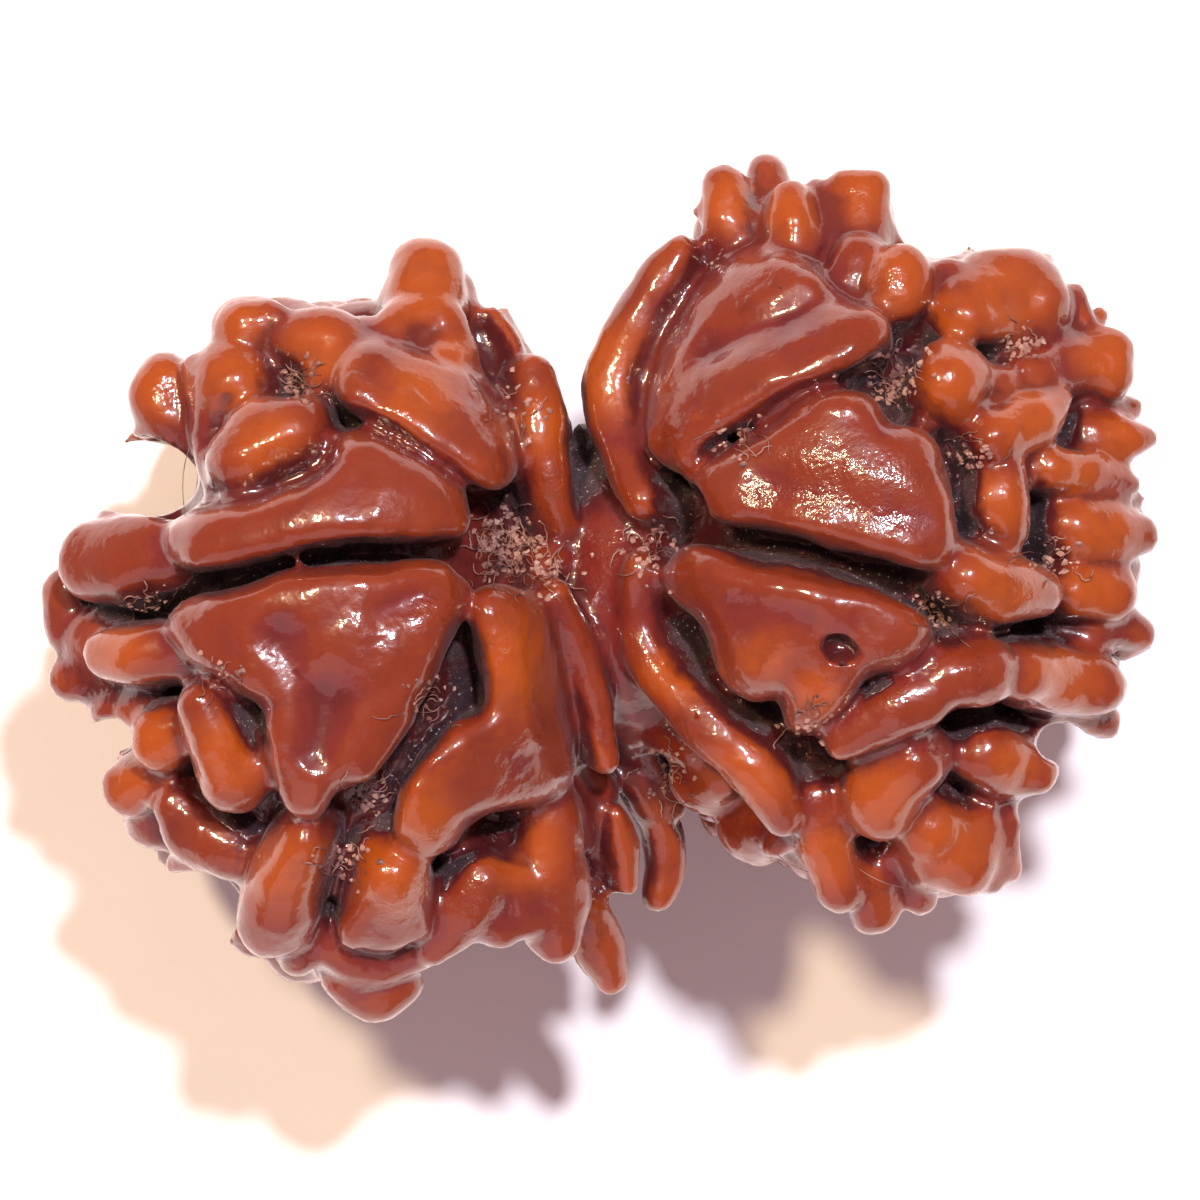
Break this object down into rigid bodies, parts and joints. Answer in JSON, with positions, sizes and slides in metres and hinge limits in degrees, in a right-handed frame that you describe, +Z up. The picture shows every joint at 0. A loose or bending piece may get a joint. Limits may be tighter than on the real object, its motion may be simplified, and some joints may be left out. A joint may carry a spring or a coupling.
{
  "type": "gauri shankar rudraksha",
  "caption": "Natural twin rudraksha stone: two lumpy beads grown together side by side, with broad waxed petals above, knobs and teeth round the sides and dark fibrous grooves.",
  "frame": {"origin": "bottom centre of the stone's bounding box, on the surface that it rests on", "axes": "+X along the pair of beads, +Y across them, +Z up through the two upper ends with their petals"},
  "size_m": [0.034, 0.024, 0.0212],
  "materials": {
    "waxed_stone": "waxed orange brown, small sharp highlights, darker in the grooves"
  },
  "bodies": {
    "root": {"twin_bead": "waxed_stone"}
  },
  "joints": []
}
